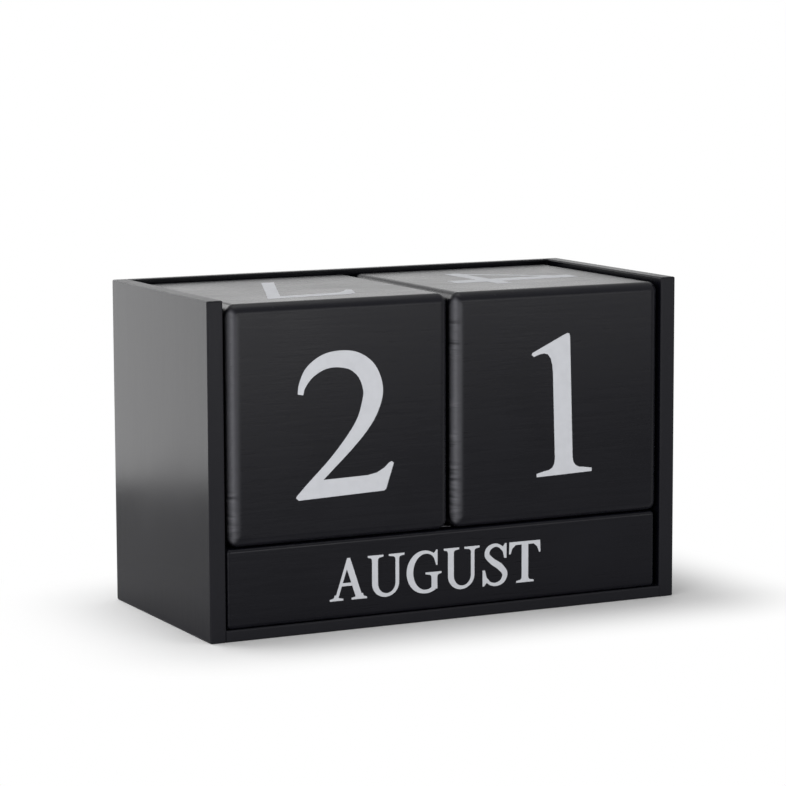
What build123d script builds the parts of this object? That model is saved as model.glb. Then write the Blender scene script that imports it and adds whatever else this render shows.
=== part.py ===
"""Perpetual block calendar for a desk, in black painted wood.

Four glued panels make a holder that is open at the front and the top. Three square month bars lie side by
side on its base, from front to back, and carry two date cubes with rounded edges. The bars push out of the
front one after the other, and the cubes lift out of the top, so that any face can be turned to the front.

Millimetres. The origin is the middle of the underside: X to the right, Y to the back, Z up.
"""

from build123d import *
import os

# Date cubes
cube_side = 50.0
cube_round = 2.0

# Month bars: side by side they are as deep as a cube
month_bars = ("front_month_bar", "middle_month_bar", "rear_month_bar")
bar_running_gap = 0.1
bar_round = 0.8

# Room round the blocks as they stand in the photograph, and the clearance under each block
left_bar_gap = 0.35
right_bar_gap = 1.25
left_cube_gap = 1.3
middle_cube_gap = 1.2
right_cube_gap = 0.5
front_setback = 0.1
rear_gap = 0.2
seat_gap = 0.1

# Holder panels
side_thickness = 3.5
back_thickness = 2.2
base_thickness = 2.5
rim_rise = 1.0
panel_arris = 0.35

# Worked out: the holder closes round its blocks
bar_count = len(month_bars)
bar_side = (cube_side - (bar_count - 1) * bar_running_gap) / bar_count
inner_width = left_cube_gap + cube_side + middle_cube_gap + cube_side + right_cube_gap
inner_depth = front_setback + cube_side + rear_gap
width = inner_width + 2 * side_thickness
depth = inner_depth + back_thickness
bar_floor = base_thickness + seat_gap
cube_floor = bar_floor + bar_side + seat_gap
height = cube_floor + cube_side + rim_rise
front_y = -depth / 2
blocks_front_y = front_y + front_setback
back_y = depth / 2
inner_left_x = -inner_width / 2
left_cube_x = inner_left_x + left_cube_gap + cube_side / 2
right_cube_x = left_cube_x + cube_side + middle_cube_gap
cube_y = blocks_front_y + cube_side / 2
bar_length = inner_width - left_bar_gap - right_bar_gap
bar_x = inner_left_x + left_bar_gap + bar_length / 2
bar_pitch = bar_side + bar_running_gap

os.makedirs("parts", exist_ok=True)

# Side panels: the whole height and depth of the holder, every arris eased
side_panels = {"left_side_panel": -width / 2, "right_side_panel": width / 2 - side_thickness}
for name, panel_x in side_panels.items():
    with BuildPart() as side_panel:
        with BuildSketch(Plane.YZ.offset(panel_x)):
            with Locations((0, height / 2)):
                Rectangle(depth, height)
        extrude(amount=side_thickness)
        fillet(side_panel.edges(), radius=panel_arris)
    side_panel.part.label = name
    export_step(side_panel.part, f"parts/{name}.step")

# Base panel: between the side panels, under everything else, eased along its front and back
with BuildPart() as base_panel:
    with BuildSketch(Plane.XY):
        Rectangle(inner_width, depth)
    extrude(amount=base_thickness)
    fillet(base_panel.edges().filter_by(Axis.X), radius=panel_arris)
base_panel.part.label = "base_panel"
export_step(base_panel.part, "parts/base_panel.step")

# Back panel: between the side panels, standing on the base, eased along its top
with BuildPart() as back_panel:
    with BuildSketch(Plane.XY.offset(base_thickness)):
        with Locations((0, back_y - back_thickness / 2)):
            Rectangle(inner_width, back_thickness)
    extrude(amount=height - base_thickness)
    fillet(back_panel.faces().sort_by(Axis.Z)[-1].edges().filter_by(Axis.X), radius=panel_arris)
back_panel.part.label = "back_panel"
export_step(back_panel.part, "parts/back_panel.step")

# Date cubes: every edge rounded over, with ball corners
date_cubes = {"left_date_cube": left_cube_x, "right_date_cube": right_cube_x}
for name, cube_x in date_cubes.items():
    with BuildPart() as date_cube:
        with BuildSketch(Plane.XY.offset(cube_floor)):
            with Locations((cube_x, cube_y)):
                Rectangle(cube_side, cube_side)
        extrude(amount=cube_side)
        fillet(date_cube.edges(), radius=cube_round)
    date_cube.part.label = name
    export_step(date_cube.part, f"parts/{name}.step")

# Month bars: square in section, in line with the cubes at the front, each behind the last
for place, name in enumerate(month_bars):
    with BuildPart() as month_bar:
        with BuildSketch(Plane.XY.offset(bar_floor)):
            with Locations((bar_x, blocks_front_y + bar_side / 2 + place * bar_pitch)):
                Rectangle(bar_length, bar_side)
        extrude(amount=bar_side)
        fillet(month_bar.edges(), radius=bar_round)
    month_bar.part.label = name
    export_step(month_bar.part, f"parts/{name}.step")
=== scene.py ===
"""Looks for the perpetual block calendar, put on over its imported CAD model.

The nine CAD pieces stay as they are and are painted here. The numerals, the month names and the cutter's
marks on the cubes' edges are added to them. Metres, in the frame of the CAD: X to the right, Y to the back,
Z up.
"""

import math

import bpy
from bpy.props import FloatProperty, FloatVectorProperty, IntProperty, PointerProperty
from mathutils import Matrix, Vector
from mathutils.geometry import delaunay_2d_cdt


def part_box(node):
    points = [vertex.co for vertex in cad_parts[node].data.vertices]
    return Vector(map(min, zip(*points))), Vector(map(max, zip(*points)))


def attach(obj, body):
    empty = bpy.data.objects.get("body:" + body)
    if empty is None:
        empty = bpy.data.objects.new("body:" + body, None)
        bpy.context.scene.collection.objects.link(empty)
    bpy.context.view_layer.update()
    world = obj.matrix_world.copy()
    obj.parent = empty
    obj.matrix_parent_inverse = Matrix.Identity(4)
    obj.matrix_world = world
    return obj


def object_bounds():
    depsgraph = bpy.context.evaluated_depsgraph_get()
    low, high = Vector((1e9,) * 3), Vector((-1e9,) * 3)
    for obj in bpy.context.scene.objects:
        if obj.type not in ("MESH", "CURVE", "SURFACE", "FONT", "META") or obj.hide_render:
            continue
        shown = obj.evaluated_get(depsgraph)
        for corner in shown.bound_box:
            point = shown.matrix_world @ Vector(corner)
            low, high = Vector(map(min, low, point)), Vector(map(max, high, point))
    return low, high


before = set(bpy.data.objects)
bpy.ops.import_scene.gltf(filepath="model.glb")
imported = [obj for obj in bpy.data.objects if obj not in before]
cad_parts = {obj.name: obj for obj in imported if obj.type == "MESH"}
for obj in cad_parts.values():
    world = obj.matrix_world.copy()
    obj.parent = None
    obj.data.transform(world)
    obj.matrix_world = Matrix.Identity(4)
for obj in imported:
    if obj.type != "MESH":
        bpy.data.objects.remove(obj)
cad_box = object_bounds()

bl_info = {
    "name": "Block calendar looks",
    "version": (1, 0, 0),
    "blender": (4, 5, 0),
    "location": "View3D > Sidebar > Calendar",
    "description": "Paint, print and light a perpetual block calendar in black painted wood",
    "category": "Object",
}

MM = 0.001

# How finely the wood's grain is drawn along X, Y and Z, per metre
UPRIGHT_GRAIN = (900.0, 900.0, 55.0)
LEVEL_GRAIN = (55.0, 900.0, 900.0)
BLOCK_GRAIN = (60.0, 1000.0, 1000.0)
TORN_GRAIN = (190.0, 190.0, 1500.0)

PANEL_GRAINS = {
    "left_side_panel": UPRIGHT_GRAIN, "right_side_panel": UPRIGHT_GRAIN,
    "back_panel": LEVEL_GRAIN, "base_panel": LEVEL_GRAIN,
}
CUBE_BODIES = {"left_date_cube": "left_cube", "right_date_cube": "right_cube"}
BAR_BODIES = {"front_month_bar": "front_bar", "middle_month_bar": "middle_bar", "rear_month_bar": "rear_bar"}

# Which way a face's print runs (to its right) and stands (upwards), with the block as it is in the holder
FACES = {
    "front": ((1, 0, 0), (0, 0, 1)),
    "back": ((-1, 0, 0), (0, 0, 1)),
    "left": ((0, -1, 0), (0, 0, 1)),
    "right": ((0, 1, 0), (0, 0, 1)),
    "top": ((1, 0, 0), (0, 1, 0)),
    "underside": ((1, 0, 0), (0, -1, 0)),
    "rolled back": ((1, 0, 0), (0, 0, -1)),
}

# Numeral, how far it is turned on its face in degrees, and how far off the middle it is printed in mm
CUBE_NUMERALS = {
    "left_date_cube": {
        "front": ("2", 1.9, (0.4, -0.5)),
        "top": ("7", 180.0, (0.0, -1.3)),
        "left": ("0", -0.6, (0.3, 0.2)),
        "right": ("6", 90.7, (0.0, 0.4)),
        "back": ("8", -0.4, (-0.4, 0.0)),
        "underside": ("1", 0.9, (0.2, -0.3)),
    },
    "right_date_cube": {
        "front": ("1", 1.6, (0.75, 0.0)),
        "top": ("4", -88.6, (0.0, 0.7)),
        "left": ("5", 0.5, (-0.2, 0.3)),
        "right": ("3", -90.9, (0.3, -0.2)),
        "back": ("2", 0.8, (0.0, 0.5)),
        "underside": ("0", -0.7, (-0.5, 0.0)),
    },
}

# Where the left upright edges of a cube are torn: height above its middle and half the length, in mm
TORN_STRETCHES = {
    "left_date_cube": ((-14.6, 0.5), (-21.0, 3.0)),
    "right_date_cube": ((18.5, 0.3), (13.2, 1.2), (1.2, 0.2), (-6.0, 1.2), (-17.5, 6.0)),
}

# The four long faces of a bar, in the order in which it is rolled over
BAR_FACES = ("front", "top", "rolled back", "underside")
BAR_MONTHS = {
    "front_month_bar": ("AUGUST", "MAY", "JUNE", "JULY"),
    "middle_month_bar": ("APRIL", "JANUARY", "FEBRUARY", "MARCH"),
    "rear_month_bar": ("DECEMBER", "SEPTEMBER", "OCTOBER", "NOVEMBER"),
}

# How far a month is printed to the right of its face's middle, and above it, in mm
MONTH_OFF_MIDDLE = (-2.65, -0.1)

# How finely the paint and the ink vary, per metre
ROLLER_SCALE = 1500.0
CLOUD_SCALE = 42.0
GRIT_SCALE = 3600.0
PATCH_SCALE = 260.0
COVER_SCALE = 420.0
TOOTH_SCALE = 2600.0

# Depths in metres that the paint's and the ink's relief stand for
GRAIN_DEPTH = 0.1 * MM
TOOTH_DEPTH = 0.012 * MM

# Each lamp's place, what it points at, its width and height in metres, and the setting that holds its power
LAMPS = {
    "Overhead lamp": ((0.0, 0.0, 0.9), (0.0, 0.0, 0.03), (0.7, 0.7), "overhead_power"),
    "Back lamp": ((0.11, 0.854, 0.17), (0.0, 0.0, 0.07), (0.9, 0.3), "back_power"),
    "Side lamp": ((-0.1455, 0.158, 0.1), (-0.055, -0.02, 0.1), (0.3, 0.2), "side_power"),
    "Front lamp": ((0.105, -0.33, 0.075), (0.0, -0.026, 0.06), (0.3, 0.09), "front_power"),
    "Strip lamp": ((0.03, -0.34, 0.04), (-0.02, -0.026, 0.04), (0.16, 0.08), "strip_power"),
    "Window lamp": ((-0.44, -0.26, 0.06), (-0.03, 0.0, 0.06), (0.4, 0.12), "window_power"),
}


# ----------------------------------------
# Lettering. A character is a few overlapping outlines in hundredths of its height, with its foot at 0.

CAP = 100

# Thickness of a serif's slab, height of its brackets and thickness of an arm's end
SLAB = 5.5
BRACKET = 8
ARM = 8

# Steps in a full turn, and between two stations of the pen
TURN_STEPS = 44
PEN_STEPS = 8


def block(left, low, right, high):
    """A straight stroke, upright or level."""
    return [(left, low), (right, low), (right, high), (left, high)]


def turn(centre_x, centre_y, reach_x, reach_y, start, end):
    """Points along an ellipse from one angle to another, in degrees."""
    steps = max(4, round(TURN_STEPS * abs(end - start) / 360))
    angles = [math.radians(start + (end - start) * step / steps) for step in range(steps + 1)]
    return [(centre_x + reach_x * math.cos(a), centre_y + reach_y * math.sin(a)) for a in angles]


def strip(one_side, other_side):
    """A band of four-sided outlines between two lines of points."""
    rungs = list(zip(one_side, other_side))
    return [[a, b, d, c] for (a, b), (c, d) in zip(rungs, rungs[1:])]


def bowl(outer, inner, start=0, end=360):
    """A round stroke between two ellipses, each given by its centre and its reaches."""
    return strip(turn(*outer, start, end), turn(*inner, start, end))


def pen(*stations):
    """A stroke drawn smoothly through stations of x, y and width."""
    ends = [stations[0], *stations, stations[-1]]
    path = []
    for before, a, b, after in zip(ends, ends[1:], ends[2:], ends[3:]):
        for step in range(PEN_STEPS):
            t = step / PEN_STEPS
            path.append([
                0.5 * (
                    2 * q + (r - p) * t
                    + (2 * p - 5 * q + 4 * r - s) * t**2
                    + (3 * q - p - 3 * r + s) * t**3
                )
                for p, q, r, s in zip(before, a, b, after)
            ])
    path.append(list(stations[-1]))
    left, right = [], []
    for index, (x, y, width) in enumerate(path):
        x0, y0, _ = path[max(index - 1, 0)]
        x1, y1, _ = path[min(index + 1, len(path) - 1)]
        length = math.hypot(x1 - x0, y1 - y0)
        across = (-(y1 - y0) / length * width / 2, (x1 - x0) / length * width / 2)
        left.append((x + across[0], y + across[1]))
        right.append((x - across[0], y - across[1]))
    return strip(left, right)


def serif(left, right, out_left, out_right, level=0, way=1, slab=SLAB):
    """The slab across a stem's end, with hollow brackets that run into the stem."""
    lean, lip = 0.6, 1.2
    rise = level + way * slab
    steps = [step / 4 for step in range(5)]
    rises = [rise + way * BRACKET * t**2 for t in steps]
    right_side = [(right + out_right * lean * (1 - t) ** 2, y) for t, y in zip(steps, rises)]
    left_side = [(left - out_left * lean * (1 - t) ** 2, y) for t, y in zip(steps, rises)]
    tip = level + way * (slab - lip)
    foot = [(left - out_left, level), (right + out_right, level), (right + out_right, tip)]
    return foot + right_side + left_side[::-1] + [(left - out_left, tip)]


def head_serif(left, right, out_left, out_right):
    """A serif at the top of a capital."""
    return serif(left, right, out_left, out_right, CAP, -1)


def stem(left, right, foot=(9, 9), head=(9, 9)):
    """An upright, with a serif at each end that is given one."""
    outlines = [block(left, 0, right, CAP)]
    if foot:
        outlines.append(serif(left, right, *foot))
    if head:
        outlines.append(head_serif(left, right, *head))
    return outlines


def barb(x, level, way, run, reach, facing=1):
    """The wedge at the end of an arm, pointing away from it."""
    tip = level + way * reach
    return [
        (x, level),
        (x + facing * 1, tip),
        (x - facing * 3, tip),
        (x - facing * run * 0.45, level + way * (ARM + (reach - ARM) * 0.35)),
        (x - facing * run, level + way * (ARM - 1)),
        (x - facing * run, level),
    ]


def tongue(x):
    """The barbed end of the middle arm of an E or an F."""
    return [(x, 68), (x + 4, 68), (x + 4, 35), (x, 35), (x - 5, 47), (x - 5, 56)]


def open_bowl():
    """The round of a C or a G with its upper beak."""
    beak = [(82, 100), (78.5, 100), (74, 93.5), (64, 91), (73, 80), (78.5, 63), (82, 63)]
    return [*bowl((46.5, 49, 46.5, 51.5), (51, 49, 33.5, 43.5), 46, 272), beak]


def letter_a():
    left = [(12, 0), (20, 0), (53.5, 100), (45.5, 100)]
    right = [(69.5, 0), (86.5, 0), (53, 100), (45.5, 100), (42.5, 80)]
    return 97, [left, right, block(28, 33.5, 71, 41), serif(12, 20, 12, 15), serif(69.5, 86.5, 13, 10)]


def letter_b():
    upper = bowl((44, 75.5, 29, 24.5), (42, 75.5, 13, 15.5), -90, 90)
    lower = bowl((46, 27.5, 35, 27.5), (44, 28, 17, 18.5), -90, 90)
    arms = [block(20, 91, 44, 100), block(20, 51, 44, 60), block(20, 46.5, 46, 55), block(20, 0, 46, 9.5)]
    return 81, [*stem(10, 29, (10, 0), (10, 0)), *upper, *lower, *arms]


def letter_c():
    return 86, [*open_bowl(), *pen((47, 1.5, 8.5), (61, 3.2, 9), (75, 11.5, 7), (84, 24, 4))]


def letter_d():
    side = bowl((44, 50, 50, 50), (42, 50, 31, 41), -90, 90)
    return 94, [*stem(10, 29, (10, 0), (10, 0)), *side, block(20, 91, 44, 100), block(20, 0, 44, 9)]


def letter_e():
    arms = [block(20, 91, 76, 100), block(20, 47, 58, 56), block(20, 0, 80, 9)]
    barbs = [barb(76, 100, -1, 22, 29), barb(80, 0, 1, 26, 32)]
    return 81, [*stem(10, 29, (10, 0), (10, 0)), *arms, tongue(57), *barbs]


def letter_f():
    arms = [block(20, 91, 74, 100), block(20, 47, 56, 56)]
    return 75, [*stem(10, 29, (10, 14), (10, 0)), *arms, tongue(55), barb(74, 100, -1, 22, 30)]


def letter_g():
    lip = pen((47, 1.5, 8.5), (60, 2.5, 9), (74, 9, 11))
    return 93, [*open_bowl(), *lip, block(66, 6, 81.5, 45), serif(66, 81.5, 16, 11, 47, -1)]


def letter_h():
    return 98, [*stem(10, 29), *stem(69, 88), block(25, 47, 73, 56)]


def letter_i():
    return 39, stem(10, 29)


def letter_j():
    hook = pen((34.5, 50, 19), (34, 24, 18.5), (28, 7, 15), (15, 1.5, 11), (6, 9, 9))
    return 54, [block(25, 45, 44, 100), head_serif(25, 44, 11, 10), *hook, turn(8, 13, 8, 8, 0, 345)]


def letter_l():
    return 77, [*stem(10, 29, (10, 0), (10, 13)), block(20, 0, 76, 9), barb(76, 0, 1, 26, 33)]


def letter_m():
    ends = [*stem(14, 24, (12, 12), None), *stem(84, 103, (10, 10), None)]
    heads = [head_serif(14, 24, 12, 0), head_serif(86, 103, 2, 10)]
    valley = [(12, 100), (36, 100), (64, 26), (57, 0), (52, 0)]
    rise = [(52, 0), (57, 0), (94, 100), (84, 100), (50, 14)]
    return 113, [*ends, *heads, valley, rise]


def letter_n():
    ends = [*stem(14, 24, (12, 12), None), *stem(78, 88, None, (12, 12))]
    slope = [(12, 100), (34, 100), (88, 12), (88, -2), (80, -2), (15, 88)]
    return 100, [*ends, head_serif(14, 24, 12, 0), slope]


def letter_o():
    return 98, bowl((49, 49.5, 49, 52.5), (49, 49.5, 29.5, 43))


def letter_p():
    side = bowl((44, 72, 36, 28), (42, 72, 18, 19), -90, 90)
    return 80, [*stem(10, 29, (10, 13), (10, 0)), *side, block(20, 91, 44, 100), block(20, 44, 44, 53)]


def letter_r():
    side = bowl((44, 73, 35, 27), (42, 73, 17, 18), -90, 90)
    leg = [(38, 50), (59, 52), (91, 5), (97, 5), (97, 0), (71, 0)]
    return 97, [*stem(10, 29, (10, 11), (10, 0)), *side, block(20, 91, 44, 100), block(20, 46, 44, 55), leg]


def letter_s():
    spine = pen(
        (61, 73, 4), (54, 88, 7), (36, 97, 8), (17, 90, 11.5), (12.5, 74, 13.5), (27, 58, 15),
        (47, 44, 16), (60.5, 26, 14), (53, 8, 11), (34, 1.5, 8), (16, 8, 7), (6, 25, 4),
    )
    upper = [(65, 100), (61, 100), (56, 93), (47, 88), (55, 80), (59, 64), (65, 64)]
    lower = [(0, -1), (4, -1), (10, 6), (19, 11), (11, 20), (6.5, 38), (0, 38)]
    return 69, [*spine, upper, lower]


def letter_t():
    arms = [block(1, 92.5, 85, 100), barb(1, 100, -1, 18, 29, -1), barb(85, 100, -1, 18, 29)]
    return 86, [*stem(34.5, 52.5, (15, 15), None), *arms]


def letter_u():
    basin = bowl((46.5, 32, 35.5, 33.5), (49.5, 32, 23, 25), 180, 360)
    left = [block(11, 32, 26.5, 100), head_serif(11, 26.5, 11, 14.5)]
    right = [block(72.5, 32, 82, 100), head_serif(72.5, 82, 17.5, 14)]
    return 96, [*left, *right, *basin]


def letter_v():
    left = [(8, 100), (29, 100), (57, 21), (52, -2), (45, -2)]
    right = [(76, 100), (87, 100), (52, -2), (45, -2), (50, 21)]
    return 98, [left, right, head_serif(9, 29, 9, 9), head_serif(76, 87, 13, 11)]


def letter_y():
    left = [(8, 100), (30, 100), (57, 50), (57, 40), (38, 40)]
    right = [(76, 100), (87, 100), (57, 40), (46, 40)]
    heads = [head_serif(9, 30, 9, 9), head_serif(76, 87, 13, 11)]
    return 98, [left, right, block(38, 0, 57, 47), serif(38, 57, 12, 12), *heads]


def numeral_0():
    return 64, bowl((32, 49.5, 32, 51), (32, 49.5, 17.5, 45))


def numeral_1():
    flag = [
        (3.4, 84.8), (8, 86.2), (11.7, 86.6), (14.5, 85.6), (16.6, 82.6), (17.7, 78), (18.2, 72), (32.4, 72),
        (32.4, 97), (31.8, 99), (30.4, 99.4), (27.6, 98.4), (2.2, 87.6), (1.6, 86.2),
    ]
    return 48, [flag, block(18.2, 0, 32.4, 92), serif(18.2, 32.4, 14.8, 15.2, slab=3.6)]


def numeral_2():
    neck = pen(
        (6.2, 71.5, 4), (8, 78, 5.5), (14, 86.3, 8.3), (24.2, 92, 10), (35.4, 93.2, 11.3),
        (47.3, 90.5, 13), (56.4, 82.5, 14.6), (60.3, 70, 14.9), (57.4, 58, 13.6), (51.2, 46.8, 11),
        (40.3, 34.5, 8.8), (27, 22, 7), (10.9, 8.2, 6.4), (2.6, 1.8, 4.5),
    )
    base = [
        (2, 0), (66, 0), (67.5, 1), (74, 18.3), (72.5, 19.6), (70.5, 18.9), (66.5, 15.6), (61, 13),
        (54, 11.9), (40, 12), (20, 12.2), (1.5, 4), (0, 2),
    ]
    return 74, [*neck, base]


def numeral_3():
    upper = pen(
        (4, 76, 4.5), (8, 85, 7), (18, 94, 9), (31, 95, 11),
        (44, 87, 13.5), (47.5, 74, 13), (39, 61, 9), (22, 52, 5.5),
    )
    lower = pen(
        (20, 52, 5), (35, 51.5, 8), (48, 44, 12), (53, 30, 14.5),
        (46, 13, 12.5), (31, 4.2, 9), (16, 4, 9), (6, 8, 10),
    )
    return 61, [*upper, *lower, turn(7, 8.5, 7, 7, 0, 345)]


def numeral_4():
    slope = [(-3, 30), (3.5, 30), (45, 84), (60, 102), (52.5, 102)]
    return 75, [slope, block(-3, 26, 76, 37.5), block(43.5, 2.5, 60, 102)]


def numeral_5():
    flag = [(15, 84), (52, 84), (59, 98), (57, 99), (53, 97), (15, 97)]
    bowl_stroke = pen(
        (9, 53, 5), (20, 59.5, 8), (33, 59, 11.5), (46, 50, 14), (50, 34, 15), (44, 15, 12.5),
        (30, 4.5, 9), (15, 3.8, 9), (6, 8, 10),
    )
    back = [(6.5, 51), (12, 53), (20, 90), (20, 97), (15, 97)]
    return 59, [flag, *bowl_stroke, back, turn(7, 8.5, 7, 7, 0, 345)]


def numeral_6():
    ring = bowl((33, 31, 31, 32), (33, 30.5, 17, 27))
    sweep = pen((58, 98.5, 4), (44, 92, 7.5), (27, 78, 11.5), (13.5, 58, 14), (9, 36, 14))
    return 64, [*ring, *sweep]


def numeral_7():
    bar = [(-1, 71), (4, 71), (9, 80), (17, 86.5), (62, 90.5), (75, 103), (12, 98), (7, 94)]
    slope = [(75, 103), (75, 100), (35.2, -1), (25.5, -1), (62, 91)]
    return 68, [bar, slope]


def numeral_8():
    upper = bowl((31, 75, 23.5, 25.5), (32.5, 76.5, 11, 20))
    lower = bowl((31, 26.5, 30, 27.5), (30, 25, 16.5, 21.5))
    waist = pen((13, 66, 10), (24, 55, 16), (39, 45, 17), (50, 34, 13))
    return 61, [*upper, *lower, *waist]


CHARACTERS = {
    "A": letter_a, "B": letter_b, "C": letter_c, "D": letter_d, "E": letter_e, "F": letter_f, "G": letter_g,
    "H": letter_h, "I": letter_i, "J": letter_j, "L": letter_l, "M": letter_m, "N": letter_n, "O": letter_o,
    "P": letter_p, "R": letter_r, "S": letter_s, "T": letter_t, "U": letter_u, "V": letter_v, "Y": letter_y,
    "0": numeral_0, "1": numeral_1, "2": numeral_2, "3": numeral_3, "4": numeral_4, "5": numeral_5,
    "6": numeral_6, "7": numeral_7, "8": numeral_8,
}

# Room before and after a letter, where it isn't the usual
USUAL_ROOM = (3, 3)
ROOM = {
    "A": (-1, -1), "C": (2.7, 2), "E": (3, 2), "F": (3, -2), "G": (2.7, 3), "J": (2, 3), "L": (3, 0),
    "P": (3, -2), "R": (3, 0), "S": (5, 3), "T": (0, 0), "V": (-1, -1), "Y": (-1, -1),
}


def set_word(word):
    """Lay out a word with its middle and its foot at 0. Each letter is a list of outlines."""
    letters = []
    x = 0
    for character in word:
        before, after = ROOM.get(character, USUAL_ROOM)
        width, outlines = CHARACTERS[character]()
        x += before
        letters.append([[(px + x, py) for px, py in outline] for outline in outlines])
        x += width + after
    return [[[(px - x / 2, py) for px, py in outline] for outline in outlines] for outlines in letters]


def set_numeral(character):
    """Lay out one numeral with its middle at 0, both ways."""
    width, outlines = CHARACTERS[character]()
    return [[(px - width / 2, py - CAP / 2) for px, py in outline] for outline in outlines]


def joined(outlines):
    """One flat sheet of triangles that covers overlapping outlines."""
    points, loops = [], []
    for outline in outlines:
        area = sum(a[0] * b[1] - b[0] * a[1] for a, b in zip(outline, outline[1:] + outline[:1]))
        way = outline if area > 0 else outline[::-1]
        loops.append(list(range(len(points), len(points) + len(way))))
        points.extend(Vector(point) for point in way)
    inside_only, closest = 1, 0.01
    flat_points, _, faces, _, _, origins = delaunay_2d_cdt(points, [], loops, inside_only, closest)
    return flat_points, [face for face, origin in zip(faces, origins) if origin]


class Film:
    """Ink on one block: the closed, very thin plates of all its characters."""

    def __init__(self, rise, root):
        self.points = []
        self.faces = []
        self.rise = rise
        self.root = root

    def lay(self, outlines, height, middle, along, up, degrees=0.0):
        """Print a character on a face, from the face's middle and its two directions."""
        flat_points, triangles = joined(outlines)
        spin = math.radians(degrees)
        across, upright = Vector(along), Vector(up)
        outwards = across.cross(upright)
        unit = height / CAP
        used = sorted({index for face in triangles for index in face})
        place = {index: number for number, index in enumerate(used)}
        start = len(self.points)
        for level in (self.rise, -self.root):
            for index in used:
                x, y = flat_points[index] * unit
                turned_x = x * math.cos(spin) - y * math.sin(spin)
                turned_y = x * math.sin(spin) + y * math.cos(spin)
                self.points.append(middle + across * turned_x + upright * turned_y + outwards * level)
        count = len(used)
        edges = []
        for face in triangles:
            upper = [start + place[index] for index in face]
            self.faces.append(upper)
            self.faces.append([index + count for index in reversed(upper)])
            edges += zip(upper, upper[1:] + upper[:1])
        shared = set(edges)
        for a, b in edges:
            if (b, a) not in shared:
                self.faces.append([b, a, a + count, b + count])

    def piece(self, name, body, material):
        """Make the ink a piece that rides on a body."""
        mesh = bpy.data.meshes.new(name)
        mesh.from_pydata(self.points, [], self.faces)
        mesh.validate()
        mesh.materials.append(material)
        return ride_piece(name, mesh, body)


# ----------------------------------------
# Nodes


def sums(operation):
    """The two operator methods of Level that add a Math node: the plain one and its reflected form."""
    return (
        lambda level, other: level.math(operation, level, other),
        lambda level, other: level.math(operation, other, level),
    )


class Level:
    """A number socket, so that shader maths reads as sums."""

    __add__, __radd__ = sums("ADD")
    __sub__, __rsub__ = sums("SUBTRACT")
    __mul__, __rmul__ = sums("MULTIPLY")
    __truediv__, __rtruediv__ = sums("DIVIDE")

    def __init__(self, board, socket):
        self.board = board
        self.socket = socket

    def math(self, operation, *values):
        node = self.board.node("ShaderNodeMath", {"operation": operation}, dict(enumerate(values)))
        return Level(self.board, node.outputs[0])

    def above(self, other):
        """The higher of two."""
        return self.math("MAXIMUM", self, other)

    def below(self, other):
        """The lower of two."""
        return self.math("MINIMUM", self, other)

    def under(self, limit):
        """1 where this is less than the limit, else 0."""
        return self.math("LESS_THAN", self, limit)

    def size(self):
        """How far this is from 0."""
        return self.math("ABSOLUTE", self)

    def swing(self, amount):
        """A noise's swing about its middle, times an amount."""
        return (self - 0.5) * amount

    def ease(self, start, end):
        """0 up to the start, 1 from the end, and smooth between."""
        settings = {"interpolation_type": "SMOOTHSTEP"}
        node = self.board.node("ShaderNodeMapRange", settings, {0: self, 1: start, 2: end})
        return Level(self.board, node.outputs[0])


class Board:
    """A node tree, and the one way that nodes are put on it."""

    def __init__(self, tree):
        self.tree = tree
        tree.nodes.clear()

    def node(self, kind, settings=None, sockets=None):
        """Put a node down: its settings first, then the values or links of its sockets."""
        node = self.tree.nodes.new(kind)
        for name, value in (settings or {}).items():
            setattr(node, name, value)
        for key, value in (sockets or {}).items():
            if isinstance(value, Level):
                value = value.socket
            if isinstance(value, bpy.types.NodeSocket):
                self.tree.links.new(value, node.inputs[key])
            else:
                node.inputs[key].default_value = value
        return node

    def object_place(self):
        """Where a point is, in metres in the frame of the CAD."""
        return self.node("ShaderNodeTexCoord").outputs["Object"]

    def noise(self, place, scale, detail=2.0, roughness=0.5, stretch=None):
        """Noise about 0 to 1 at a scale per metre, drawn out where a stretch is given."""
        if stretch:
            place = self.node("ShaderNodeMapping", {}, {"Vector": place, "Scale": stretch}).outputs[0]
        sockets = {"Vector": place, "Scale": scale, "Detail": detail, "Roughness": roughness}
        return Level(self, self.node("ShaderNodeTexNoise", {}, sockets).outputs[0])

    def mix(self, factor, first, second):
        """A colour between two others."""
        node = self.node("ShaderNodeMix", {"data_type": "RGBA"}, {0: factor, 6: first, 7: second})
        return node.outputs[2]

    def vector(self, operation, first, second=None):
        """Vector maths."""
        sockets = {0: first} if second is None else {0: first, 1: second}
        return self.node("ShaderNodeVectorMath", {"operation": operation}, sockets).outputs[0]

    def scaled(self, vector, amount):
        """A vector times a number."""
        return self.node("ShaderNodeVectorMath", {"operation": "SCALE"}, {0: vector, 3: amount}).outputs[0]

    def dot(self, first, second):
        """How far one vector goes along another, as a number."""
        node = self.node("ShaderNodeVectorMath", {"operation": "DOT_PRODUCT"}, {0: first, 1: second})
        return Level(self, node.outputs[1])

    def bump(self, height, depth):
        """A normal from a height of 0 to 1 and the depth in metres that it stands for."""
        return self.node("ShaderNodeBump", {}, {"Height": height, "Distance": depth}).outputs[0]


def new_material(name):
    material = bpy.data.materials.new(name)
    material.use_nodes = True
    return material, Board(material.node_tree)


def finish_material(board, base, roughness, ior, normal):
    sockets = {"Base Color": base, "Roughness": roughness, "IOR": ior, "Normal": normal}
    shader = board.node("ShaderNodeBsdfPrincipled", {}, sockets)
    board.node("ShaderNodeOutputMaterial", {}, {"Surface": shader.outputs[0]})


def rgba(colour):
    return (*colour, 1.0)


def shaded(colour, share):
    """A colour made darker or lighter."""
    return rgba([part * share for part in colour])


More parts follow.
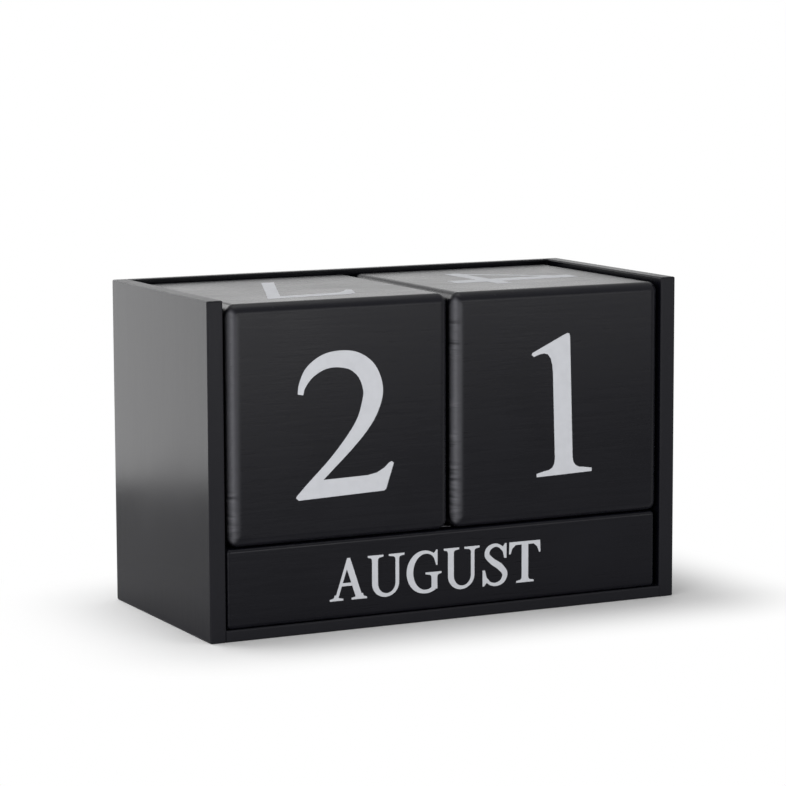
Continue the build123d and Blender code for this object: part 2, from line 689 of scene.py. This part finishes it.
class Depths:
    """How deep a point of a piece lies behind each pair of faces of its box, in millimetres."""

    def __init__(self, board, node):
        low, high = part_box(node)
        self.sides = high - low
        self.place = board.vector("SUBTRACT", board.object_place(), (low + high) / 2)
        across = board.node("ShaderNodeSeparateXYZ", {}, {0: self.place}).outputs
        self.rightwards, self.upwards = Level(board, across[0]), Level(board, across[2])
        reach = board.vector("ABSOLUTE", self.place)
        inside = board.vector("SUBTRACT", (high - low) / 2, reach)
        parts = board.node("ShaderNodeSeparateXYZ", {}, {0: board.scaled(inside, 1 / MM)})
        self.x, self.y, self.z = [Level(board, socket) for socket in parts.outputs]

    def edge(self):
        """The middle one of the three depths, which is small along every edge."""
        least = self.x.below(self.y).below(self.z)
        most = self.x.above(self.y).above(self.z)
        return self.x + self.y + self.z - least - most

    def rim(self):
        """How deep a point of a thin panel lies behind the narrow faces round it, in millimetres."""
        thinnest = min(self.sides)
        first, second = [
            level for level, side in zip((self.x, self.y, self.z), self.sides) if side != thinnest
        ]
        return first.below(second)

    def stretches(self, listed):
        """1 within any of the stretches of height that are listed in mm from the middle, else 0."""
        fade = 1.5
        total = 0.0
        for height, half_length in listed:
            away = (self.upwards - height * MM).size()
            total = (1 - away.ease(half_length * MM, (half_length + fade) * MM)) + total
        return total.below(1.0)


def satin_paint(node, settings, colour, gloss, ior, wear, grain, rounding=0.0, panel=False):
    """Satin black paint on wood: grain and roller texture under it, rubbed thin along the edges.

    The grain gives how the wood's figure is drawn out along each axis. A rounding, in mm, is the radius of a
    cube's edges, of which the upright ones on its left keep the marks of the cutter and are painted paler
    there, partly as rubbed paint and partly as a painted highlight on the side that the window lamp lights.
    A panel's narrow faces are sawn, and take the paint paler and more matt.
    """
    material, board = new_material("Satin black paint, " + node.replace("_", " "))
    depths = Depths(board, node)
    place = depths.place
    figure = board.noise(place, 1.0, 5.0, 0.6, grain)
    roller = board.noise(place, ROLLER_SCALE, 2.0, 0.55)
    cloud = board.noise(place, CLOUD_SCALE, 3.0, 0.5)
    grit = board.noise(place, GRIT_SCALE, 1.0, 0.5)
    patch = board.noise(place, PATCH_SCALE, 4.0, 0.65)

    # Rubbed thin along the edges, and chipped in a few patches of them
    edge = depths.edge() + patch.swing(0.7)
    rubbed = (1 - edge.ease(0.1 + rounding * 0.3, 0.5 + rounding * 0.75)) * wear * (0.35 + figure * 0.9)
    at_edge = 1 - edge.ease(rounding * 0.5 + 0.1, rounding * 0.5 + 0.35)
    chip = at_edge * patch.ease(0.68, 0.74) * settings.chips
    height = figure * 0.5 + roller * 0.28 + grit * 0.06

    if rounding:
        # Upright edges on the cube's left: the cutter's marks in the relief, and paler paint along them,
        # partly rubbed paint and partly a painted highlight on the side that the window lamp lights
        upright = (depths.z - depths.x.above(depths.y)).ease(-0.4, 1.2)
        marks = board.noise(place, 1.0, 2.0, 0.6, TORN_GRAIN)
        spread = marks.swing(0.1 + depths.stretches(TORN_STRETCHES[node]))
        reach = depths.x.above(depths.y * 0.2) + spread * 0.9
        on_lit_left = depths.rightwards.under(0.0)
        on_edge = 1 - depths.y.ease(rounding * 0.8, rounding * 1.4)
        cut_and_highlight = upright * on_edge * on_lit_left * (1 - reach.ease(0.0, rounding * 1.35))
        height = height + spread * cut_and_highlight * settings.cutter_depth
        # From here the rubbed share also holds the painted highlight along the left upright edges
        rubbed = rubbed + cut_and_highlight * (0.7 + spread * 1.9).above(0.0) * settings.cutter_wear_and_highlight

    # The pale share: rubbed paint and chips, with the painted highlight on the cubes' left upright edges
    worn_and_highlit = rubbed.above(chip).below(1.0)
    tone = board.mix(cloud * 0.5 + figure * 0.5, rgba(colour), shaded(colour, 1.55))
    base = board.mix(worn_and_highlit, tone, rgba(settings.wear_and_highlight_colour))
    roughness = gloss + cloud.swing(0.12) + figure.swing(0.14) + worn_and_highlit * 0.16
    if panel:
        sawn = 1 - depths.rim().ease(0.1, 0.45)
        base = board.mix(sawn, base, rgba(settings.sawn_colour))
        roughness = roughness + sawn * settings.sawn_roughness
    finish_material(board, base, roughness, ior, board.bump(height, settings.relief * GRAIN_DEPTH))
    return material


def pale_ink(name, settings):
    """Matt pale ink from a screen: slightly uneven cover, with pinholes where the paint shows."""
    material, board = new_material(name)
    colour = settings.ink_colour
    place = board.object_place()
    cover = board.noise(place, COVER_SCALE, 4.0, 0.6)
    tooth = board.noise(place, TOOTH_SCALE, 2.0, 0.6)
    pinhole = tooth.ease(0.73, 0.8) * cover.ease(0.45, 0.6)
    thin = board.mix(cover.ease(0.3, 0.7) * 0.35, rgba(colour), shaded(colour, 0.86))
    base = board.mix(pinhole * 0.7, thin, shaded(colour, 0.3))
    normal = board.bump(tooth * 0.7 + cover * 0.3, TOOTH_DEPTH)
    finish_material(board, base, 0.52 + cover.swing(0.2), settings.ink_ior, normal)
    return material


# ----------------------------------------
# Pieces


def put_in_scene(name, data):
    placed = bpy.data.objects.new(name, data)
    bpy.context.scene.collection.objects.link(placed)
    return placed


def ride_piece(name, mesh, body):
    piece = put_in_scene(name, mesh)
    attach(piece, body)
    return piece


def coat(node, material):
    """Give a CAD piece its paint."""
    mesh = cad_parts[node].data
    mesh.materials.clear()
    mesh.materials.append(material)


def face_middle(node, along, up):
    """The middle of the face of a block whose print runs along one way and stands up another."""
    low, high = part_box(node)
    outwards = Vector(along).cross(Vector(up))
    half = (high - low) / 2
    return (low + high) / 2 + Vector(part * reach for part, reach in zip(outwards, half))


def rounded_edges(node, radius):
    """The line that each of a cube's twelve edges is rounded about, and the way that the edge faces."""
    clear_of_corner = radius * 1.2
    low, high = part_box(node)
    middle = (low + high) / 2
    half = (high - low) / 2
    lines = []
    for axis in range(3):
        first, second = [other for other in range(3) if other != axis]
        for side_one, side_two in ((-1, -1), (-1, 1), (1, -1), (1, 1)):
            facing = Vector((0, 0, 0))
            facing[first] = side_one
            facing[second] = side_two
            centre = middle.copy()
            centre[first] += side_one * (half[first] - radius)
            centre[second] += side_two * (half[second] - radius)
            run = Vector((0, 0, 0))
            run[axis] = half[axis] - clear_of_corner
            lines.append((centre - run, centre + run, facing.normalized()))
    return lines


def cutter_mark_tree():
    """Short raised fibres across a rounded edge, left by the cutter and stiffened by the paint.

    They are placed as on a flat strip that touches the middle of the rounding, and then bent round it.
    """
    tree = bpy.data.node_groups.new("Cutter marks on a rounded edge", "GeometryNodeTree")
    sockets = {}
    kinds = {
        "NodeSocketGeometry": ("Lines",),
        "NodeSocketFloat": ("Radius", "Spacing", "Length", "Width", "Rise", "Share"),
        "NodeSocketInt": ("Seed",),
        "NodeSocketMaterial": ("Paint",),
    }
    for kind, names in kinds.items():
        for name in names:
            sockets[name] = tree.interface.new_socket(name, in_out="INPUT", socket_type=kind).identifier
    tree.interface.new_socket("Marks", in_out="OUTPUT", socket_type="NodeSocketGeometry")
    board = Board(tree)
    given = board.node("NodeGroupInput").outputs

    def number(name):
        return Level(board, given[name])

    def chance(low, high, seed):
        settings = {"data_type": "FLOAT"}
        node = board.node("FunctionNodeRandomValue", settings, {2: low, 3: high, 8: number("Seed") + seed})
        return Level(board, node.outputs[1])

    def attribute(name, kind="FLOAT_VECTOR"):
        return board.node("GeometryNodeInputNamedAttribute", {"data_type": kind}, {"Name": name}).outputs[0]

    facing, run = attribute("facing"), attribute("run")
    across = board.vector("CROSS_PRODUCT", facing, run)
    coarse = Level(board, attribute("coarse", "FLOAT"))

    # Points along each line, moved out to the surface and a little at random
    lines = board.node("GeometryNodeMeshToCurve", {}, {0: given["Lines"]})
    resample = {"Curve": lines.outputs[0], "Length": given["Spacing"]}
    points = board.node("GeometryNodeResampleCurve", {"mode": "LENGTH"}, resample)
    slid = board.scaled(run, number("Spacing") * chance(-0.5, 0.5, 1))
    shifted = board.scaled(across, number("Length") * chance(-0.15, 0.15, 2))
    outwards = board.vector("ADD", board.scaled(facing, number("Radius")), shifted)
    offset = board.vector("ADD", outwards, slid)
    moved = board.node("GeometryNodeSetPosition", {}, {"Geometry": points.outputs[0], "Offset": offset})

    # A fibre on each point that is picked
    fibre = board.node("GeometryNodeMeshUVSphere", {}, {"Segments": 8, "Rings": 6, "Radius": 0.5})
    size = board.node("ShaderNodeCombineXYZ", {}, {
        0: number("Width") * chance(0.5, 1.5, 3),
        1: number("Length") * chance(0.3, 1.0, 4),
        2: number("Rise") * chance(0.5, 2.0, 5) * coarse,
    })
    axes = {"primary_axis": "Z", "secondary_axis": "X"}
    lie = board.node("FunctionNodeAxesToRotation", axes, {0: facing, 1: run})
    picked = board.node("FunctionNodeRandomValue", {"data_type": "BOOLEAN"}, {
        "Probability": number("Share") * coarse,
        8: number("Seed") + 6,
    })
    placed = board.node("GeometryNodeInstanceOnPoints", {}, {
        "Points": moved.outputs[0],
        "Selection": picked.outputs[3],
        "Instance": fibre.outputs[0],
        "Rotation": lie.outputs[0],
        "Scale": size.outputs[0],
    })
    real = board.node("GeometryNodeRealizeInstances", {}, {0: placed.outputs[0]})

    # Bend the flat strip round the edge
    centre = attribute("centre")
    position = board.node("GeometryNodeInputPosition").outputs[0]
    from_centre = board.vector("SUBTRACT", position, centre)
    along = board.dot(from_centre, run)
    angle = board.dot(from_centre, across) / number("Radius")
    reach = board.dot(from_centre, facing)
    turned_out = board.scaled(facing, angle.math("COSINE", angle) * reach)
    turned_across = board.scaled(across, angle.math("SINE", angle) * reach)
    on_round = board.vector("ADD", turned_out, turned_across)
    bent_place = board.vector("ADD", board.vector("ADD", centre, board.scaled(run, along)), on_round)
    bent = board.node("GeometryNodeSetPosition", {}, {"Geometry": real.outputs[0], "Position": bent_place})
    coated = {"Geometry": bent.outputs[0], "Material": given["Paint"]}
    painted = board.node("GeometryNodeSetMaterial", {}, coated)
    board.node("NodeGroupOutput", {}, {0: painted.outputs[0]})
    return tree, sockets


# ----------------------------------------
# Settings


def setting(kind, **usual):
    """A maker of one kind of setting, from its name, description and default."""

    def make(name, description, default):
        return kind(name=name, description=description, default=default, **usual)

    return make


colour_setting = setting(FloatVectorProperty, subtype="COLOR", size=3, min=0, max=1)
share_setting = setting(FloatProperty, subtype="FACTOR", min=0, max=1)
index_setting = setting(FloatProperty, min=1, max=2)
amount_setting = setting(FloatProperty, min=0)
length_setting = setting(FloatProperty, subtype="DISTANCE", unit="LENGTH")
power_setting = setting(FloatProperty, unit="POWER")
seed_setting = setting(IntProperty)


class CalendarPaint(bpy.types.PropertyGroup):
    """The black paint of the holder and the blocks."""

    holder_colour: colour_setting("Holder colour", "Paint of the four panels", (0.0022, 0.0022, 0.0038))
    block_colour: colour_setting("Block colour", "Paint of the cubes and the bars", (0.002, 0.002, 0.0036))
    # The worn colour is rubbed paint, and on the cubes' left upright edges it is also a painted highlight
    wear_and_highlight_colour: colour_setting("Wear and highlight colour", "Paint where it is rubbed thin", (0.158, 0.158, 0.174))
    sawn_colour: colour_setting("Sawn colour", "Paint on the panels' sawn edges", (0.011, 0.011, 0.0135))
    holder_roughness: share_setting("Holder roughness", "How matt the holder's satin paint is", 0.2)
    block_roughness: share_setting("Block roughness", "How matt the blocks' satin paint is", 0.28)
    sawn_roughness: share_setting("Sawn roughness", "How much more matt the panels' sawn edges are", 0.14)
    holder_ior: index_setting("Holder IOR", "Index of refraction of the holder's paint", 1.14)
    block_ior: index_setting("Block IOR", "Index of refraction of the blocks' paint", 1.2)
    holder_wear: share_setting("Holder wear", "How much the panels' edges are rubbed", 0.04)
    block_wear: share_setting("Block wear", "How much the blocks' edges are rubbed", 0.05)
    chips: share_setting("Chips", "How much the small chips along the edges show", 0.55)
    relief: amount_setting("Relief", "Depth of the grain under the paint, against the usual", 0.3)
    cutter_depth: amount_setting("Cutter depth", "Depth of the cutter's marks against the grain", 1.5)
    # Cutter wear also sets how bright the painted highlight on the cubes' left upright edges is
    cutter_wear_and_highlight: share_setting("Cutter wear and highlight", "How pale the cutter's marks are rubbed", 0.72)


class CalendarEdges(bpy.types.PropertyGroup):
    """The rounded edges of the cubes and the marks on them."""

    radius: length_setting("Radius", "Radius of a cube's rounded edges, as in the CAD", 2.0 * MM)
    mark_spacing: length_setting("Mark spacing", "Distance between fibres along an edge", 0.42 * MM)
    mark_length: length_setting("Mark length", "Greatest length of a fibre round the edge", 1.8 * MM)
    mark_width: length_setting("Mark width", "Usual width of a fibre", 0.24 * MM)
    mark_rise: length_setting("Mark rise", "Usual thickness of a fibre, half above the paint", 0.05 * MM)
    mark_share: share_setting("Mark share", "Share of the places that have a fibre", 0.3)
    mark_seed: seed_setting("Mark seed", "Changes where the fibres are", 7)


class CalendarPrint(bpy.types.PropertyGroup):
    """The printed numerals and months."""

    ink_colour: colour_setting("Ink colour", "Pale ink of the print", (0.475, 0.485, 0.515))
    ink_ior: index_setting("Ink IOR", "Index of refraction of the matt ink", 1.5)
    numeral_height: length_setting("Numeral height", "Height of a numeral on a cube", 30.6 * MM)
    letter_height: length_setting("Letter height", "Height of a capital on a bar", 8.89 * MM)
    film_rise: length_setting("Film rise", "How far the ink stands above the paint", 0.02 * MM)
    film_root: length_setting("Film root", "How far the ink reaches into the paint", 0.05 * MM)


class CalendarStage(bpy.types.PropertyGroup):
    """Floor, lamps and surroundings."""

    floor_colour: colour_setting("Floor colour", "Pale floor that the calendar stands on", (0.9, 0.9, 0.9))
    floor_near: length_setting("Floor near", "Where the floor starts to turn into white", 0.0)
    floor_far: length_setting("Floor far", "How far from the calendar the floor is all white", 0.034)
    room_light: amount_setting("Room light", "Strength of the light from all round", 0.14)
    overhead_power: power_setting("Overhead power", "Power of the soft lamp overhead", 4.0)
    back_power: power_setting("Back power", "Power of the wide soft lamp behind", 0.37)
    side_power: power_setting("Side power", "Power of the soft lamp behind the left side", 0.57)
    front_power: power_setting("Front power", "Power of the soft lamp in front", 0.35)
    strip_power: power_setting("Strip power", "Power of the low lamp in front of the left cube", 0.13)
    window_power: power_setting("Window power", "Power of the soft lamp on the left", 1.35)


# ----------------------------------------
# Operators


class CALENDAR_OT_stage(bpy.types.Operator):
    """Set up the pale floor, the soft lamps, the white surroundings and the camera"""

    bl_idname = "calendar.stage"
    bl_label = "Set the stage"

    def execute(self, context):
        settings = context.scene.calendar_stage
        self.floor(settings)
        self.surroundings(context.scene, settings)
        for name, (place, target, size, power) in LAMPS.items():
            self.lamp(name, place, target, size, getattr(settings, power))
        self.camera(context.scene)
        context.scene.view_settings.view_transform = "Standard"
        return {"FINISHED"}

    def floor(self, settings):
        reach = 4.0
        corners = [(-reach, -reach, 0), (reach, -reach, 0), (reach, reach, 0), (-reach, reach, 0)]
        mesh = bpy.data.meshes.new("floor")
        mesh.from_pydata(corners, [], [(0, 1, 2, 3)])
        floor = put_in_scene("floor", mesh)
        material, board = new_material("Pale floor")
        footprint = (cad_box[1].x, cad_box[1].y, 0)
        beyond = board.vector("SUBTRACT", board.vector("ABSOLUTE", board.object_place()), footprint)
        outside = board.vector("MAXIMUM", beyond, (0, 0, 0))
        measured = board.node("ShaderNodeVectorMath", {"operation": "LENGTH"}, {0: outside})
        away = Level(board, measured.outputs[1])
        fade = away.ease(settings.floor_near, settings.floor_far) * seen_directly(board)
        matt = board.node("ShaderNodeBsdfDiffuse", {}, {"Color": rgba(settings.floor_colour)})
        white = board.node("ShaderNodeEmission", {}, {"Color": (1, 1, 1, 1), "Strength": 1.0})
        both = board.node("ShaderNodeMixShader", {}, {0: fade, 1: matt.outputs[0], 2: white.outputs[0]})
        board.node("ShaderNodeOutputMaterial", {}, {"Surface": both.outputs[0]})
        mesh.materials.append(material)

    def surroundings(self, scene, settings):
        world = bpy.data.worlds.new("White surroundings")
        world.use_nodes = True
        board = Board(world.node_tree)
        seen = seen_directly(board)
        strength = settings.room_light + seen * (1 - settings.room_light)
        light = board.node("ShaderNodeBackground", {}, {"Color": (1, 1, 1, 1), "Strength": strength})
        board.node("ShaderNodeOutputWorld", {}, {"Surface": light.outputs[0]})
        scene.world = world

    def lamp(self, name, place, target, size, power):
        light = bpy.data.lights.new(name, "AREA")
        light.shape = "RECTANGLE"
        light.size, light.size_y = size
        light.energy = power
        lamp = put_in_scene(name, light)
        lamp.visible_camera = False
        lamp.location = place
        way = Vector(target) - Vector(place)
        lamp.rotation_euler = way.to_track_quat("-Z", "Y").to_euler()

    def camera(self, scene):
        # The place, the angles in radians and the focal length in pixels come from a fit of the CAD's edges
        # to the photograph
        place = (-0.29359, -0.59217, 0.13370)
        turned, tilted, rolled = 0.459809, 0.133081, -0.0038605
        focal_length = 3067.23
        picture_side = 786
        sensor = 36.0
        camera_data = bpy.data.cameras.new("Camera")
        camera_data.sensor_width = sensor
        camera_data.lens = focal_length / picture_side * sensor
        camera_data.clip_start = 0.01
        camera = put_in_scene("Camera", camera_data)
        heading = Matrix.Rotation(-turned, 4, "Z") @ Matrix.Rotation(math.pi / 2 - tilted, 4, "X")
        camera.matrix_world = Matrix.Translation(place) @ heading @ Matrix.Rotation(rolled, 4, "Z")
        scene.camera = camera


def seen_directly(board):
    """1 for what the camera sees, straight or in a reflection, and 0 for light that falls on things."""
    path = board.node("ShaderNodeLightPath").outputs
    camera, glossy, passing = [
        Level(board, path[name]) for name in ("Is Camera Ray", "Is Glossy Ray", "Is Transmission Ray")
    ]
    return camera.above(glossy).above(passing)


class CALENDAR_OT_holder(bpy.types.Operator):
    """Paint the four glued panels of the holder"""

    bl_idname = "calendar.holder"
    bl_label = "Paint the holder"

    def execute(self, context):
        paint = context.scene.calendar_paint
        finish = (paint.holder_colour, paint.holder_roughness, paint.holder_ior, paint.holder_wear)
        for node, grain in PANEL_GRAINS.items():
            coat(node, satin_paint(node, paint, *finish, grain, panel=True))
        return {"FINISHED"}


class CALENDAR_OT_blocks(bpy.types.Operator):
    """Paint the date cubes and the month bars"""

    bl_idname = "calendar.blocks"
    bl_label = "Paint the cubes and bars"

    def execute(self, context):
        paint = context.scene.calendar_paint
        finish = (paint.block_colour, paint.block_roughness, paint.block_ior, paint.block_wear)
        radius = context.scene.calendar_edges.radius
        for node in (*CUBE_BODIES, *BAR_BODIES):
            rounding = radius / MM if node in CUBE_BODIES else 0.0
            coat(node, satin_paint(node, paint, *finish, BLOCK_GRAIN, rounding))
        return {"FINISHED"}


class CALENDAR_OT_cutter_marks(bpy.types.Operator):
    """Raise the fibres that the cutter left across the rounded edges of the date cubes"""

    bl_idname = "calendar.cutter_marks"
    bl_label = "Raise the cutter marks"

    def execute(self, context):
        settings = context.scene.calendar_edges
        tree, sockets = cutter_mark_tree()
        for number, (node, body) in enumerate(CUBE_BODIES.items()):
            self.mark(node, body, tree, sockets, settings, number)
        return {"FINISHED"}

    def mark(self, node, body, tree, sockets, settings, number):
        many, few = 1.0, 0.15
        seeds_apart = 20
        points, edges, facings, runs, centres, coarse = [], [], [], [], [], []
        for start, end, facing in rounded_edges(node, settings.radius):
            edges.append((len(points), len(points) + 1))
            points += [start, end]
            facings += [facing] * 2
            runs += [(end - start).normalized()] * 2
            centres += [start] * 2
            upright_on_left = facing.x < -0.5 and abs(facing.y) > 0.5
            coarse += [many if upright_on_left else few] * 2
        lines = bpy.data.meshes.new("edge lines")
        lines.from_pydata(points, edges, [])
        for name, vectors in (("facing", facings), ("run", runs), ("centre", centres)):
            attribute = lines.attributes.new(name, "FLOAT_VECTOR", "POINT")
            attribute.data.foreach_set("vector", [part for vector in vectors for part in vector])
        lines.attributes.new("coarse", "FLOAT", "POINT").data.foreach_set("value", coarse)
        carrier = put_in_scene("edge lines", lines)
        modifier = carrier.modifiers.new("Cutter marks", "NODES")
        modifier.node_group = tree
        inputs = {
            "Radius": settings.radius,
            "Spacing": settings.mark_spacing,
            "Length": settings.mark_length,
            "Width": settings.mark_width,
            "Rise": settings.mark_rise,
            "Share": settings.mark_share,
            "Seed": settings.mark_seed + seeds_apart * number,
            "Paint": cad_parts[node].data.materials[0],
        }
        for name, value in inputs.items():
            modifier[sockets[name]] = value
        finished = carrier.evaluated_get(bpy.context.evaluated_depsgraph_get())
        mesh = bpy.data.meshes.new_from_object(finished)
        if not mesh.polygons:
            raise RuntimeError("The cutter marks came out empty on " + node)
        mesh.name = body + "_cutter_marks"
        bpy.data.objects.remove(carrier)
        ride_piece(body + "_cutter_marks", mesh, body)


class CALENDAR_OT_numerals(bpy.types.Operator):
    """Print the numerals on the six faces of both date cubes"""

    bl_idname = "calendar.numerals"
    bl_label = "Print the numerals"

    def execute(self, context):
        settings = context.scene.calendar_print
        ink = pale_ink("Pale ink, numerals", settings)
        for node, body in CUBE_BODIES.items():
            film = Film(settings.film_rise, settings.film_root)
            for face, (numeral, degrees, shift) in CUBE_NUMERALS[node].items():
                along, up = FACES[face]
                middle = face_middle(node, along, up)
                middle = middle + Vector(along) * shift[0] * MM + Vector(up) * shift[1] * MM
                film.lay(set_numeral(numeral), settings.numeral_height, middle, along, up, degrees)
            film.piece(body + "_numerals", body, ink)
        return {"FINISHED"}


class CALENDAR_OT_months(bpy.types.Operator):
    """Print a month on each long face of the three bars"""

    bl_idname = "calendar.months"
    bl_label = "Print the months"

    def execute(self, context):
        settings = context.scene.calendar_print
        ink = pale_ink("Pale ink, months", settings)
        foot = settings.letter_height / 2
        shift_along, shift_up = MONTH_OFF_MIDDLE
        for node, body in BAR_BODIES.items():
            film = Film(settings.film_rise, settings.film_root)
            for face, month in zip(BAR_FACES, BAR_MONTHS[node]):
                along, up = FACES[face]
                start = face_middle(node, along, up) + Vector(along) * shift_along * MM
                start = start + Vector(up) * (shift_up * MM - foot)
                for letter in set_word(month):
                    film.lay(letter, settings.letter_height, start, along, up)
            film.piece(body + "_months", body, ink)
        return {"FINISHED"}


class CALENDAR_PT_looks(bpy.types.Panel):
    """The calendar's settings and steps"""

    bl_idname = "CALENDAR_PT_looks"
    bl_label = "Block calendar"
    bl_space_type = "VIEW_3D"
    bl_region_type = "UI"
    bl_category = "Calendar"

    def draw(self, context):
        for group, (_, steps) in SETTINGS.items():
            box = self.layout.box()
            settings = getattr(context.scene, group)
            for name in settings.__annotations__:
                box.prop(settings, name)
            for step in steps:
                box.operator(step)


# Each group of settings, and the steps that use it
SETTINGS = {
    "calendar_stage": (CalendarStage, ("calendar.stage",)),
    "calendar_paint": (CalendarPaint, ("calendar.holder", "calendar.blocks")),
    "calendar_edges": (CalendarEdges, ("calendar.cutter_marks",)),
    "calendar_print": (CalendarPrint, ("calendar.numerals", "calendar.months")),
}

CLASSES = (
    CalendarStage,
    CalendarPaint,
    CalendarEdges,
    CalendarPrint,
    CALENDAR_OT_stage,
    CALENDAR_OT_holder,
    CALENDAR_OT_blocks,
    CALENDAR_OT_cutter_marks,
    CALENDAR_OT_numerals,
    CALENDAR_OT_months,
    CALENDAR_PT_looks,
)


def register():
    for cls in CLASSES:
        bpy.utils.register_class(cls)
    for name, (group, _) in SETTINGS.items():
        setattr(bpy.types.Scene, name, PointerProperty(type=group))


def unregister():
    for name in SETTINGS:
        delattr(bpy.types.Scene, name)
    for cls in reversed(CLASSES):
        bpy.utils.unregister_class(cls)


def main():
    register()
    bpy.ops.calendar.stage()
    bpy.ops.calendar.holder()
    bpy.ops.calendar.blocks()
    bpy.ops.calendar.cutter_marks()
    bpy.ops.calendar.numerals()
    bpy.ops.calendar.months()


if __name__ == "__main__":
    main()
